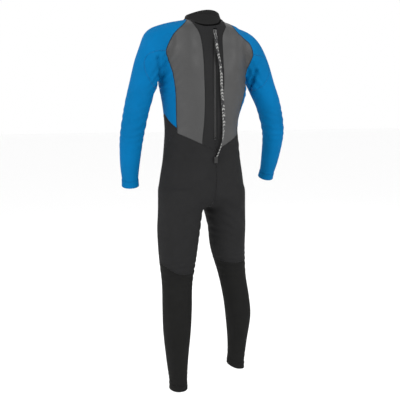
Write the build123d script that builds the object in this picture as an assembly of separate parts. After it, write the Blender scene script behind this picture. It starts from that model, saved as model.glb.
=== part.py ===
from build123d import *
import math
import os

# Full-length back-zip wetsuit, hanging empty but in the shape of its wearer.
# Millimetres. +Z up, -Y the wearer's front, +X the wearer's left.
# The origin is the centre of the neck opening, at half the collar's height.

# ---- Driving dimensions ---------------------------------------------------
BODY_SKIN = 3.0          # neoprene of the torso and the legs
ARM_SKIN = 2.5           # neoprene of the sleeves
SEAM_GAP = 0.3           # between a sleeve's head and the torso
HEM_EXTRA = 0.8          # how far a doubled hem stands outside its sleeve

COLLAR_TOP = 22.0
COLLAR_BASE = -20.0
PANEL_BOTTOM = -405.0    # lower outer corner of the back panels
WAIST = -440.0           # lower edge of the back panels beside the zip
CROTCH = -700.0

# Sections of each tube: centre x, y, z, then half width and half depth.
TORSO = [
    (0, 9, -20, 74, 74),
    (0, 12, -34, 122, 82),
    (0, 13, -48, 148, 91),
    (0, 8, -75, 166, 97),
    (0, -2, -130, 176, 107.5),
    (0, -4, -220, 164, 111),
    (0, -1, -300, 152, 109.5),
    (0, 6, -380, 140, 104),
    (0, 9, -425, 139, 102),
    (0, 12, -500, 147, 105),
    (0, 13, -570, 159, 112),
    (0, 12, -640, 169, 116),
    (0, 10, CROTCH, 172, 112),
]
COLLAR = [
    (0, 3, COLLAR_TOP, 60, 62),
    (0, 5, 0, 63, 66),
    (0, 9, COLLAR_BASE, 74, 74),
]
ARMS = {
    "left": [
        (100, 10, -74, 46, 50),
        (160, 10, -94, 58, 57),
        (207, 8, -150, 54, 57),
        (236, 4, -240, 48, 50),
        (250, 1, -300, 45, 47),
        (262, -3, -370, 43, 45),
        (270, -11, -432, 41, 42),
        (270, -31, -517, 35, 35),
        (266, -43, -567, 30, 30),
        (264, -49, -591, 30, 30),
    ],
    "right": [
        (-100, 10, -74, 46, 50),
        (-160, 10, -94, 58, 57),
        (-207, 8, -150, 54, 57),
        (-250, 8, -240, 49, 50),
        (-273, 9, -296, 46, 47),
        (-298, 3, -370, 43, 45),
        (-310, -7, -425, 41, 42),
        (-319, -40, -515, 35, 35),
        (-321, -62, -566, 30, 30),
        (-321, -72, -590, 30, 30),
    ],
}
LEGS = {
    "left": [
        (88, 8, CROTCH, 84, 98),
        (94, 6, -760, 80, 88),
        (99, 4, -855, 73, 75),
        (101, 4, -963, 60, 60),
        (103, 10, -1060, 57, 59),
        (105, 14, -1150, 55, 59),
        (105, 12, -1260, 44, 48),
        (103, 9, -1365, 35, 39),
        (103, 8, -1390, 34, 38),
    ],
    "right": [
        (-88, 8, CROTCH, 84, 98),
        (-102, 0, -760, 80, 88),
        (-122, -10, -850, 71, 74),
        (-142, -14, -958, 58, 60),
        (-154, -6, -1050, 52, 56),
        (-162, -2, -1130, 51, 56),
        (-166, -10, -1240, 40, 44),
        (-165, -18, -1326, 35, 39),
        (-164, -20, -1350, 34, 38),
    ],
}
# Each limb's stretch zone runs between these two of its sections.
ZONE_TOP = 4
ZONE_BOTTOM = 5
LEG_ZONE_TOP = 2
LEG_ZONE_BOTTOM = 3
CUFF_TOP = 8
HEM_TOP = 7

# The zip runs down a straight line that leans out towards the seat.
ZIP_TOP = -48.0
ZIP_BOTTOM = -425.0
ZIP_TOP_Y = 104.0        # the outer face of the back, at the top of the zip
ZIP_BOTTOM_Y = 111.0
PLACKET_HALF = 36.0      # half width of the black strip each side of the zip
PLACKET_GAP = 7.5        # half width of the slot that the slider runs in
TAPE_OUTER = 22.0
TAPE_INNER = 3.4
TAPE_THICK = 0.8
CHAIN_DEPTH = 3.4        # the tape's mid plane, below the outer face
TOOTH_PITCH = 5.0
TOOTH_HEIGHT = 3.0
TOOTH_IN = 0.7
TOOTH_THICK = 3.0
SLIDER_LENGTH = 16.0
SLIDER_HALF = 6.4
SLIDER_PLATE = 1.2
SLIDER_REST = -58.0      # height of the slider's middle with the zip closed

CORD_WIDTH = 10.0
CORD_THICK = 3.0
CORD_Y = 114.5
CORD_LEAN = 0.9          # degrees outward, so that the free end clears the seat
# The pull cord's route, x and z, from the puller's eye to its free end.
CORD_ROUTE = [
    (0, -87), (-3, -114), (-11, -146), (-19, -190), (-20, -240), (-24, -292),
    (-29, -344), (-29, -394), (-23, -430), (-13, -460), (-1, -484),
]

os.makedirs("parts", exist_ok=True)
nodes = {}


def keep(name, shape):
    """Name a node; a node of several solids stays a group."""
    nodes[name] = shape


def largest(shape):
    """The main solid of a cut, without the crumbs at its corners."""
    return max(shape.solids(), key=lambda solid: solid.volume)


def ellipse_at(section, inset, normal):
    x, y, z, half_x, half_y = section
    plane = Plane(origin=(x, y, z), x_dir=(1, 0, 0), z_dir=normal)
    return plane * Ellipse(half_x - inset, half_y - inset)


def directions(sections):
    """The way each section of a limb faces: along the line of its neighbours."""
    result = []
    for i in range(len(sections)):
        a = Vector(*sections[max(i - 1, 0)][:3])
        b = Vector(*sections[min(i + 1, len(sections) - 1)][:3])
        d = (a - b).normalized()
        # the section's plane holds the X direction only if it doesn't lean that way
        result.append(Vector(0, d.Y, d.Z).normalized())
    return result


def tube(sections, inset, normals=None, straight=False):
    """A solid tube through the sections, drawn in by inset on every side."""
    if normals is None:
        normals = [Vector(0, 0, 1)] * len(sections)
    faces = [ellipse_at(s, inset, n) for s, n in zip(sections, normals)]
    return loft(faces, ruled=straight)


def lengthened(sections, up, down):
    """The same sections with both ends carried on, so that a bore runs right through."""
    first, last = sections[0], sections[-1]
    top = (first[0], first[1], first[2] + up, first[3], first[4])
    bottom = (last[0], last[1], last[2] - down, last[3], last[4])
    return [top] + list(sections) + [bottom]


def slab(low, high, half_x=600.0, y_low=-600.0, y_high=600.0):
    return Pos(0, (y_low + y_high) / 2, (low + high) / 2) * Box(
        2 * half_x, y_high - y_low, high - low
    )


def prism(outline, y_low, y_high):
    """An X-Z outline carried along Y."""
    face = make_face(Polyline(*[(x, y_low, z) for x, z in outline], close=True))
    return extrude(face, amount=y_high - y_low, dir=(0, 1, 0))


def smooth_prism(outline, y_low, y_high):
    """As prism, with the outline a closed smooth curve."""
    curve = Spline(*[(x, y_low, z) for x, z in outline], periodic=True)
    return extrude(make_face(curve), amount=y_high - y_low, dir=(0, 1, 0))


# ---- Torso ----------------------------------------------------------------
torso_outer = tube(TORSO, 0, straight=True)
torso_inner = tube(lengthened(TORSO, 5, 5), BODY_SKIN, straight=True)
torso_shell = torso_outer - torso_inner

torso_clear = tube(TORSO, -SEAM_GAP, straight=True)
arm_outer = {}
arm_inner = {}
for side, sections in ARMS.items():
    upper = sections[: ZONE_TOP + 1]
    facing = directions(sections)[: ZONE_TOP + 1]
    arm_outer[side] = tube(upper, 0, facing)
    arm_inner[side] = tube(upper, ARM_SKIN, facing)
    torso_shell = torso_shell - arm_inner[side]

BACK = 0.0               # the side seams run down the middle of each flank
strip = prism(
    [(-PLACKET_HALF, 0), (PLACKET_HALF, 0), (PLACKET_HALF, WAIST), (-PLACKET_HALF, WAIST)],
    BACK, 200,
)
slot = prism(
    [(-PLACKET_GAP, 0), (PLACKET_GAP, 0), (PLACKET_GAP, ZIP_BOTTOM), (-PLACKET_GAP, ZIP_BOTTOM)],
    BACK, 200,
)
back_left = prism(
    [
        (PLACKET_HALF, 0), (70, 0), (100, -28), (130, -60), (158, -105), (160, -123),
        (152, -153), (139, -200), (128, -270), (122, -340), (121, PANEL_BOTTOM),
        (PLACKET_HALF, WAIST),
    ],
    BACK, 200,
)
back_right = mirror(back_left, Plane.YZ)
chest = prism(
    [
        (-70, 0), (70, 0), (92, -60), (118, -120), (134, -180), (128, -270), (124, -340),
        (121, PANEL_BOTTOM), (-121, PANEL_BOTTOM), (-124, -340), (-128, -270),
        (-134, -180), (-118, -120), (-92, -60),
    ],
    -200, BACK,
)
LEFT_HALF = Pos(300, 0, -400) * Box(600, 600, 900)
RIGHT_HALF = Pos(-300, 0, -400) * Box(600, 600, 900)
UNDERARM = -165.0        # the seam between raglan shoulder and side panel

keep("zip_placket_left", (torso_shell & strip & LEFT_HALF) - slot)
keep("zip_placket_right", (torso_shell & strip & RIGHT_HALF) - slot)
keep("back_panel_left", torso_shell & back_left)
keep("back_panel_right", torso_shell & back_right)
keep("chest_panel", torso_shell & chest)
flanks = torso_shell & slab(PANEL_BOTTOM - 75, COLLAR_BASE + 1)
side_bottom = {
    "left": prism(
        [(0, 0), (300, 0), (300, -405), (143, -482), (121, PANEL_BOTTOM), (0, -405)], -300, 300
    ),
}
side_bottom["right"] = mirror(side_bottom["left"], Plane.YZ)
for side, half in (("left", LEFT_HALF), ("right", RIGHT_HALF)):
    flank = (flanks & half & side_bottom[side]) - strip - back_left - back_right - chest
    keep("shoulder_panel_" + side, largest(flank & slab(UNDERARM, 10)))
    keep("side_panel_" + side, flank & slab(-500, UNDERARM))

lower = torso_shell & slab(CROTCH, PANEL_BOTTOM)
lower = lower - strip - back_left - back_right - chest
lower = lower - side_bottom["left"] - side_bottom["right"]
lower = lower + (torso_shell & slab(CROTCH, PANEL_BOTTOM) & slab(CROTCH, -483))
keep("front_lower_panel", lower & slab(CROTCH, PANEL_BOTTOM, y_low=-600, y_high=BACK))
keep("seat_panel", lower & slab(CROTCH, PANEL_BOTTOM, y_low=BACK, y_high=600))

# ---- Collar, its overlapping flap and the hook and loop patches -----------
collar = tube(COLLAR, 0) - tube(lengthened(COLLAR, 5, 5), BODY_SKIN)
collar_slot = prism(
    [(-PLACKET_GAP, 40), (PLACKET_GAP, 40), (PLACKET_GAP, -40), (-PLACKET_GAP, -40)], 0, 200
)
keep("collar_band", collar - collar_slot)

FLAP_LIFT = 2.6          # how far the flap stands off the collar
FLAP_THICK = 2.5
HOOK_THICK = 1.0
LOOP_THICK = 1.3
PATCH_GAP = 0.2          # the patch's backing, over the collar
neck_and_back = COLLAR[:2] + TORSO[:5]
flap_outline = [
    (66, 4), (40, 5), (5, 3), (-22, -2), (-29, -14), (-20, -27), (0, -36), (20, -40),
    (42, -36), (58, -24), (68, -8),
]


def neck_layer(near, far):
    """A layer that lies between two distances outside the neck and upper back."""
    outer = tube(neck_and_back, -far, straight=True)
    return outer - tube(lengthened(neck_and_back, 5, 5), -near, straight=True)


flap_prism = smooth_prism(flap_outline, 0, 250)
keep("collar_overlap_flap", neck_layer(FLAP_LIFT, FLAP_LIFT + FLAP_THICK) & flap_prism)
patch_outline = [(-24, -3), (-9, 0), (-9, -28), (-22, -20)]
patch_prism = prism(patch_outline, 0, 250)
keep("flap_hook_patch", neck_layer(FLAP_LIFT - HOOK_THICK, FLAP_LIFT) & patch_prism)
keep("collar_loop_patch", neck_layer(PATCH_GAP, LOOP_THICK) & patch_prism)

# ---- Zip ------------------------------------------------------------------
zip_run = Vector(0, ZIP_TOP_Y - ZIP_BOTTOM_Y, ZIP_TOP - ZIP_BOTTOM)
zip_length = zip_run.length
zip_up = zip_run.normalized()
# In the zip's own frame x is across, y points out of the back and z runs up it.
zip_frame = Plane(origin=(0, ZIP_TOP_Y, ZIP_TOP), x_dir=(1, 0, 0), z_dir=zip_up)


def zip_box(x_low, x_high, y_low, y_high, z_low, z_high):
    """A block in the zip's frame; z is measured up from the zip's top end."""
    block = Box(x_high - x_low, y_high - y_low, z_high - z_low)
    centre = Pos((x_low + x_high) / 2, (y_low + y_high) / 2, (z_low + z_high) / 2)
    return zip_frame.location * centre * block


tape_top = CHAIN_DEPTH - TAPE_THICK / 2
tape_bottom = CHAIN_DEPTH + TAPE_THICK / 2
for side, sign in (("left", 1), ("right", -1)):
    edge = sorted((sign * TAPE_INNER, sign * TAPE_OUTER))
    keep("zip_tape_" + side, zip_box(edge[0], edge[1], -tape_bottom, -tape_top, -zip_length, 0))
    teeth = []
    for i in range(int((zip_length - 12) / TOOTH_PITCH)):
        z = -6 - TOOTH_PITCH * i - (TOOTH_PITCH / 2 if side == "left" else 0)
        span = sorted((sign * TOOTH_IN, sign * TAPE_INNER))
        teeth.append(
            zip_box(
                span[0], span[1], -CHAIN_DEPTH - TOOTH_THICK / 2, -CHAIN_DEPTH + TOOTH_THICK / 2,
                z - TOOTH_HEIGHT / 2, z + TOOTH_HEIGHT / 2,
            )
        )
    keep("zip_teeth_" + side, Compound(children=[solid for t in teeth for solid in t.solids()]))

STOP_HALF = 1.6
stop = zip_box(
    -TAPE_INNER, TAPE_INNER, -CHAIN_DEPTH - STOP_HALF, -CHAIN_DEPTH + STOP_HALF,
    -zip_length + 0.5, -zip_length + 4,
)
keep("zip_bottom_stop", stop)
top_stops = []
for sign in (-1, 1):
    span = sorted((sign * TOOTH_IN, sign * TAPE_INNER))
    top_stops.append(
        zip_box(span[0], span[1], -CHAIN_DEPTH - 1, -CHAIN_DEPTH + 1, -3.4, -0.8)
    )
keep("zip_top_stops", Compound(children=[solid for t in top_stops for solid in t.solids()]))

BACKING_NEAR = 9.0
BACKING_THICK = 2.0
BACKING_HALF = 30.0
backing = tube(TORSO, BACKING_NEAR, straight=True)
backing = backing - tube(TORSO, BACKING_NEAR + BACKING_THICK, straight=True)
backing_outline = prism(
    [(-BACKING_HALF, -50), (BACKING_HALF, -50), (BACKING_HALF, ZIP_BOTTOM), (-BACKING_HALF, ZIP_BOTTOM)],
    BACK, 200,
)
keep("zip_backing_flap", backing & backing_outline)

# Slider: two plates with turned-in flanges, a narrow wedge between them and a bridge on top.
s_top = SLIDER_REST - ZIP_TOP + SLIDER_LENGTH / 2
s_low = SLIDER_REST - ZIP_TOP - SLIDER_LENGTH / 2
top_plate_in = CHAIN_DEPTH - TOOTH_THICK / 2 - 0.4
top_plate_out = top_plate_in - SLIDER_PLATE
low_plate_in = CHAIN_DEPTH + TOOTH_THICK / 2 + 0.4
low_plate_out = low_plate_in + SLIDER_PLATE
SLOT_CLEAR = 0.35
FLANGE = 1.1
WEDGE_HALF = 0.35
slider = zip_box(-SLIDER_HALF, SLIDER_HALF, -top_plate_in, -top_plate_out, s_low, s_top)
slider = slider + zip_box(-SLIDER_HALF, SLIDER_HALF, -low_plate_out, -low_plate_in, s_low, s_top)
for sign in (-1, 1):
    span = sorted((sign * (SLIDER_HALF - FLANGE), sign * SLIDER_HALF))
    slider = slider + zip_box(
        span[0], span[1], -(tape_top - SLOT_CLEAR), -top_plate_out, s_low, s_top
    )
    slider = slider + zip_box(
        span[0], span[1], -low_plate_out, -(tape_bottom + SLOT_CLEAR), s_low, s_top
    )
slider = slider + zip_box(
    -WEDGE_HALF, WEDGE_HALF, -low_plate_out, -top_plate_out, s_top - 4, s_top
)
BRIDGE_HALF = 1.6
BRIDGE_RISE = 3.6
bridge_out = -top_plate_out + BRIDGE_RISE
bridge = zip_box(-BRIDGE_HALF, BRIDGE_HALF, -top_plate_out, bridge_out, s_low + 1, s_top - 2)
bridge_eye = zip_box(
    -BRIDGE_HALF - 1, BRIDGE_HALF + 1, -top_plate_out, bridge_out - 1.2, s_low + 2.4, s_top - 3.4
)
keep("zip_slider", slider + (bridge - bridge_eye))

# Puller: a wire loop through the bridge; its lower bar stands out to the cord.
PIVOT_Z = s_low + 4.0
PIVOT_OUT = bridge_out - 2.2
WIRE = 1.5
PULLER_DROP = 19.0
LOOP_HALF = 3.4
pivot = zip_frame.from_local_coords(Vector(0, PIVOT_OUT, PIVOT_Z))
low_bar = Vector(0, CORD_Y, pivot.Z - PULLER_DROP)


def rod(start, end, radius):
    run = end - start
    return Plane(origin=start, z_dir=run.normalized()).location * Cylinder(
        radius, run.length, align=(Align.CENTER, Align.CENTER, Align.MIN)
    )


across = Vector(LOOP_HALF, 0, 0)
overrun = Vector(LOOP_HALF + WIRE / 2, 0, 0)
puller = rod(pivot - overrun, pivot + overrun, WIRE / 2)
puller = puller + rod(low_bar - overrun, low_bar + overrun, WIRE / 2)
for sign in (-1, 1):
    puller = puller + rod(pivot + across * sign, low_bar + across * sign, WIRE / 2)
keep("zip_puller", puller)

# ---- Pull cord: a flat woven tape, doubled over the puller ----------------
cord_points = [(x, CORD_Y, z) for x, z in CORD_ROUTE]


def route_radii(points):
    """The largest arc that each corner's two runs allow."""
    radii = []
    for a, b, c in zip(points, points[1:], points[2:]):
        before = Vector(*b) - Vector(*a)
        after = Vector(*c) - Vector(*b)
        turn = math.radians(before.get_angle(after))
        radii.append(0.45 * min(before.length, after.length) / math.tan(turn / 2))
    return radii


radii = route_radii(cord_points)
cord_path = FilletPolyline(*cord_points, radius=radii)
start_face = Plane(
    origin=cord_path @ 0, x_dir=(0, 1, 0), z_dir=cord_path % 0
) * Rectangle(CORD_THICK, CORD_WIDTH)
cord = sweep(start_face, path=cord_path)
print("cord radii", [round(r) for r in radii])
print("cord length", round(cord_path.length, 1), "volume", round(cord.volume, 1))
print("section x length", round(cord_path.length * CORD_WIDTH * CORD_THICK, 1))
cord_hang = Axis((0, CORD_Y, CORD_ROUTE[0][1]), (1, 0, 0))
keep("pull_cord", cord.rotate(cord_hang, CORD_LEAN))

# The cord's top is sewn round the puller's lower bar.
EYE_OUT = 3.0
eye_top = low_bar.Z + EYE_OUT
eye = Pos(0, CORD_Y, (eye_top + CORD_ROUTE[0][1]) / 2) * Box(
    2 * LOOP_HALF - WIRE - 0.2, 2 * EYE_OUT, eye_top - CORD_ROUTE[0][1]
)
keep("cord_loop", eye - rod(low_bar - overrun, low_bar + overrun, WIRE / 2))
end_x, end_z = CORD_ROUTE[-1]
END_TAB = 22.0
end_tab = Pos(end_x + 4, CORD_Y, end_z - END_TAB / 2) * Box(
    CORD_WIDTH + 3, CORD_THICK + 1.5, END_TAB
)
keep("cord_end_tab", end_tab.rotate(cord_hang, CORD_LEAN))

# ---- Arms -----------------------------------------------------------------
for side, sections in ARMS.items():
    facing = directions(sections)
    keep("upper_sleeve_" + side, largest(arm_outer[side] - arm_inner[side] - torso_clear))

    def ring_tube(first, last, extra=0.0, facing=facing, sections=sections):
        """The sleeve between two of its sections."""
        picked = sections[first: last + 1]
        ways = facing[first: last + 1]
        return tube(picked, -extra, ways) - tube(picked, ARM_SKIN, ways)

    zone = ring_tube(ZONE_TOP, ZONE_BOTTOM)
    keep("elbow_zone_" + side, zone)
    keep("forearm_sleeve_" + side, ring_tube(ZONE_BOTTOM, CUFF_TOP))
    keep("cuff_hem_" + side, ring_tube(CUFF_TOP, len(sections) - 1, HEM_EXTRA))

# ---- Legs -----------------------------------------------------------------
leg_bores = []
for side, sections in LEGS.items():
    def leg_tube(first, last, extra=0.0, sections=sections):
        """The leg between two of its sections."""
        picked = sections[first: last + 1]
        return tube(picked, -extra) - tube(picked, BODY_SKIN)

    keep("thigh_" + side, leg_tube(0, LEG_ZONE_TOP))
    knee = leg_tube(LEG_ZONE_TOP, LEG_ZONE_BOTTOM)
    top = sections[LEG_ZONE_TOP]
    split = top[1]
    keep("knee_pad_" + side, knee & slab(-1500, 0, y_low=-600, y_high=split))
    keep("knee_back_" + side, knee & slab(-1500, 0, y_low=split, y_high=600))
    keep("calf_" + side, leg_tube(LEG_ZONE_BOTTOM, HEM_TOP))
    keep("ankle_hem_" + side, leg_tube(HEM_TOP, len(sections) - 1, HEM_EXTRA))
    leg_bores.append(tube(lengthened(sections[:2], 20, 0), BODY_SKIN))

# The gusset closes the body between the tops of the two legs.
gusset = torso_outer & slab(CROTCH, CROTCH + BODY_SKIN)
gusset = gusset & torso_inner
for bore in leg_bores:
    gusset = gusset - bore
keep("crotch_gusset", largest(gusset))

for name, shape in nodes.items():
    solids = shape.solids()
    group = solids[0] if len(solids) == 1 else Compound(children=list(solids))
    export_step(group, "parts/" + name + ".step")
    print(name, len(solids), [round(solid.volume, 1) for solid in solids[:3]])
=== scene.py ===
import bmesh
import bpy
import math
import numpy as np
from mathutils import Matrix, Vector
from mathutils.bvhtree import BVHTree


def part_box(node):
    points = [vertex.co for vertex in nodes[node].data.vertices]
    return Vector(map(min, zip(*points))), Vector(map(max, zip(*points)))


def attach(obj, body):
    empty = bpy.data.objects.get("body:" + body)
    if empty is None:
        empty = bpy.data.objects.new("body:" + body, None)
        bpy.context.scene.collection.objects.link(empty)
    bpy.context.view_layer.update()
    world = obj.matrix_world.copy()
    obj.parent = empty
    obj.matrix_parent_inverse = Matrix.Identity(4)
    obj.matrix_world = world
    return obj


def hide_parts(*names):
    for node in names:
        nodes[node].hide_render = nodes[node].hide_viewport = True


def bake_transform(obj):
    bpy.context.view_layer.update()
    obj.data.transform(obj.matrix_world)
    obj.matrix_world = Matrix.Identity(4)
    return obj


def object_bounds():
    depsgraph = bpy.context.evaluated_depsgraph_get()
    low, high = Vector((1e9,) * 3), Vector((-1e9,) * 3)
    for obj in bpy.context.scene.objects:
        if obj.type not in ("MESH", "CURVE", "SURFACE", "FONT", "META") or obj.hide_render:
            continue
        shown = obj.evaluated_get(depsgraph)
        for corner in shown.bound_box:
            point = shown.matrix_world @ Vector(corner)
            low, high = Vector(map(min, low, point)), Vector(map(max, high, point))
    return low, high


# Metres, in the frame's axes: +Z up, -Y the wearer's front, +X the wearer's left.
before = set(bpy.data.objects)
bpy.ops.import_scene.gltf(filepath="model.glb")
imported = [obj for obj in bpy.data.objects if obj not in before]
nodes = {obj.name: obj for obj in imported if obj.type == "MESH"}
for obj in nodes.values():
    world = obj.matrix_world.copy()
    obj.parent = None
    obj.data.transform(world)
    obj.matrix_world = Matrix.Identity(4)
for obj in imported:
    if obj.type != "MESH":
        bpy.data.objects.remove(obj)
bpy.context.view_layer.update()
SIDES = (("left", 1), ("right", -1))


# ---- Objects and meshes ----
def add_object(name, data):
    made = bpy.data.objects.new(name, data)
    bpy.context.scene.collection.objects.link(made)
    return made


def object_from_faces(name, verts, faces):
    mesh = bpy.data.meshes.new(name)
    mesh.from_pydata([tuple(v) for v in verts], [], faces)
    return add_object(name, mesh)


def mesh_from_bmesh(name, bm):
    """The bmesh as a new mesh; the bmesh is freed."""
    mesh = bpy.data.meshes.new(name)
    bm.to_mesh(mesh)
    bm.free()
    return mesh


def shade_smooth(mesh):
    mesh.polygons.foreach_set("use_smooth", [True] * len(mesh.polygons))


def values_of(elements, what, width=3, kind=float):
    """A property of a mesh's elements, as an array with one row for each."""
    values = np.zeros(len(elements) * width, kind)
    elements.foreach_get(what, values)
    return values.reshape(-1, width)


def move_vertices(mesh, points):
    mesh.vertices.foreach_set("co", points.ravel())
    mesh.update()


def evaluated_mesh(obj):
    """A new mesh that holds what the object's curve or modifiers make."""
    graph = bpy.context.evaluated_depsgraph_get()
    return bpy.data.meshes.new_from_object(obj.evaluated_get(graph))


def applied(obj):
    """Turns an object's modifiers into its mesh."""
    mesh = evaluated_mesh(obj)
    obj.modifiers.clear()
    obj.data = mesh
    return obj


# ---- Camera, lights and floor ----
AZIMUTH = math.radians(155)
CAMERA_DISTANCE = 2.05
CAMERA_HEIGHT = -0.33
CAMERA_PITCH = math.radians(9)
CAMERA_ASIDE = -0.0075       # sideways, along the picture's right
LENS = 49.7
SENSOR_WIDTH = 36
LIGHTS_AIM = Vector((0, 0, -0.6))
FLOOR_SIZE = 60
FLOOR_GAP = 0.12             # the suit hangs this far above the floor


def add_camera():
    data = bpy.data.cameras.new("camera")
    data.lens = LENS
    data.sensor_width = SENSOR_WIDTH
    data.dof.use_dof = False
    camera = add_object("camera", data)
    back = Vector((math.sin(AZIMUTH), -math.cos(AZIMUTH), 0))
    right = Vector((math.cos(AZIMUTH), math.sin(AZIMUTH), 0))
    camera.location = back * CAMERA_DISTANCE + right * CAMERA_ASIDE
    camera.location.z = CAMERA_HEIGHT
    camera.rotation_euler = (math.pi / 2 - CAMERA_PITCH, 0, AZIMUTH)
    bpy.context.scene.camera = camera


def add_light(name, azimuth, height, distance, size, power):
    """A round area light, placed by its azimuth and aimed at the suit's middle."""
    data = bpy.data.lights.new(name, "AREA")
    data.shape = "DISK"
    data.size = size
    data.energy = power
    light = add_object(name, data)
    a = math.radians(azimuth)
    light.location = (math.sin(a) * distance, -math.cos(a) * distance, height)
    aim = LIGHTS_AIM - light.location
    light.rotation_euler = aim.to_track_quat("-Z", "Y").to_euler()


def add_floor():
    low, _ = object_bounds()
    bpy.ops.mesh.primitive_plane_add(size=FLOOR_SIZE, location=(0, 0, low[2] - FLOOR_GAP))
    floor = bpy.context.object
    floor.name = "studio_floor"
    paper, _, _ = new_material("studio_paper", (0.97, 0.97, 0.97), 0.9)
    floor.data.materials.append(paper)


def add_studio():
    world = bpy.data.worlds.new("studio")
    bpy.context.scene.world = world
    world.use_nodes = True
    sky = world.node_tree.nodes["Background"]
    sky.inputs["Color"].default_value = (1, 1, 1, 1)
    sky.inputs["Strength"].default_value = 1.0
    add_light("key", 118, 0.9, 3.0, 1.6, 42)
    add_light("fill", 208, 0.5, 3.0, 1.6, 30)
    add_light("front", 0, 0.8, 3.2, 2.0, 24)
    add_floor()
    bpy.context.scene.view_settings.view_transform = "Standard"


# ---- Materials ----
def new_material(name, color, roughness, sheen=0.0, specular=0.5):
    material = bpy.data.materials.new(name)
    material.use_nodes = True
    shader = material.node_tree.nodes["Principled BSDF"]
    settings = {
        "Base Color": (*color, 1), "Roughness": roughness, "Sheen Weight": sheen,
        "Sheen Roughness": 0.4, "Specular IOR Level": specular,
    }
    for socket, value in settings.items():
        shader.inputs[socket].default_value = value
    return material, material.node_tree, shader


def node(tree, kind, links=(), **values):
    """Adds a node; values set its inputs (by name, _ for a space) or its own settings."""
    made = tree.nodes.new(kind)
    for key, value in values.items():
        if hasattr(made, key):
            setattr(made, key, value)
        else:
            made.inputs[key.replace("_", " ")].default_value = value
    for socket, source in links:
        tree.links.new(source, made.inputs[socket])
    return made


def object_coordinates(tree):
    return tree.nodes.new("ShaderNodeTexCoord").outputs["Object"]


def noise(tree, where, scale, detail, roughness=0.5):
    made = node(
        tree, "ShaderNodeTexNoise", [("Vector", where)], Scale=scale, Detail=detail,
        Roughness=roughness,
    )
    return made.outputs["Fac"]


def wave(tree, where, direction, scale, distortion, detail=2.0):
    made = node(
        tree, "ShaderNodeTexWave", [("Vector", where)], bands_direction=direction, Scale=scale,
        Distortion=distortion, Detail=detail,
    )
    return made.outputs["Fac"]


def math_node(tree, operation, first, second):
    """A maths node's result; each input is another node's output or a number."""
    made = node(tree, "ShaderNodeMath", operation=operation)
    for socket, value in zip(made.inputs, (first, second)):
        if isinstance(value, float):
            socket.default_value = value
        else:
            tree.links.new(value, socket)
    return made.outputs["Value"]


def bump(tree, height, strength, distance, over=None):
    """A bump's normal, laid over another bump's normal where one is given."""
    links = [("Height", height)]
    if over:
        links.append(("Normal", over))
    made = node(tree, "ShaderNodeBump", links, Strength=strength, Distance=distance)
    return made.outputs["Normal"]


def wear(tree, shader, value, span, low, high):
    """Lets a noise within span set the roughness between low and high."""
    worn = node(
        tree, "ShaderNodeMapRange", [("Value", value)], From_Min=span[0], From_Max=span[1],
        To_Min=low, To_Max=high,
    )
    tree.links.new(worn.outputs["Result"], shader.inputs["Roughness"])


def vary_color(tree, shader, color, amount, scale=7.0):
    """Cloudy light and dark across the panel, with fine mottling on top."""
    clouds = noise(tree, object_coordinates(tree), scale, 6.0, 0.6)
    ramp = node(tree, "ShaderNodeValToRGB", [("Fac", clouds)])
    for end, position, change in zip(ramp.color_ramp.elements, (0.3, 0.7), (-amount, amount)):
        end.position = position
        end.color = (*[c * (1 + change) for c in color], 1)
    tree.links.new(ramp.outputs["Color"], shader.inputs["Base Color"])


def knit_neoprene(name, color, roughness=0.78):
    """Nylon-lined neoprene: a fine knit of ribs and courses over a soft foam."""
    material, tree, shader = new_material(name, color, roughness, specular=0.05)
    vary_color(tree, shader, color, 0.10)
    where = object_coordinates(tree)
    courses = wave(tree, where, "Z", 260.0, 0.6, 1.0)
    ribs = wave(tree, where, "X", 260.0, 0.6, 1.0)
    knit = math_node(tree, "MULTIPLY", courses, ribs)
    foam = noise(tree, where, 38.0, 5.0, 0.62)
    fine = bump(tree, knit, 0.35, 0.0004)
    soft = bump(tree, foam, 0.25, 0.0025, fine)
    tree.links.new(soft, shader.inputs["Normal"])
    wear(tree, shader, foam, (0.3, 0.75), roughness - 0.1, min(1.0, roughness + 0.12))
    return material


def smooth_skin(name, color):
    """Glued smooth-skin rubber with a fine embossed mesh that breaks up its shine."""
    material, tree, shader = new_material(name, color, 0.5, sheen=0.02, specular=0.4)
    vary_color(tree, shader, color, 0.12, scale=5.0)
    where = object_coordinates(tree)
    mesh = node(
        tree, "ShaderNodeTexVoronoi", [("Vector", where)], feature="DISTANCE_TO_EDGE", Scale=420.0
    )
    dents = noise(tree, where, 24.0, 4.0, 0.55)
    fine = bump(tree, mesh.outputs["Distance"], 0.3, 0.0004)
    soft = bump(tree, dents, 0.3, 0.004, fine)
    tree.links.new(soft, shader.inputs["Normal"])
    wear(tree, shader, dents, (0.3, 0.7), 0.42, 0.62)
    return material


def twill(name, color, scale=900.0):
    """Close diagonal weave of a tape, a thread or a patch."""
    material, tree, shader = new_material(name, color, 0.85, sheen=0.2, specular=0.3)
    vary_color(tree, shader, color, 0.2, scale=60.0)
    weave = wave(tree, object_coordinates(tree), "DIAGONAL", scale, 1.0)
    tree.links.new(bump(tree, weave, 0.5, 0.0004), shader.inputs["Normal"])
    return material


def worn_hardware(name, color, roughness, metallic):
    """Moulded plastic or painted metal, scuffed and slightly uneven."""
    material, tree, shader = new_material(name, color, roughness)
    shader.inputs["Metallic"].default_value = metallic
    vary_color(tree, shader, color, 0.25, scale=160.0)
    scuffs = noise(tree, object_coordinates(tree), 700.0, 4.0, 0.7)
    tree.links.new(bump(tree, scuffs, 0.25, 0.0003), shader.inputs["Normal"])
    wear(tree, shader, scuffs, (0.0, 1.0), roughness - 0.12, roughness + 0.15)
    return material


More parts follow.
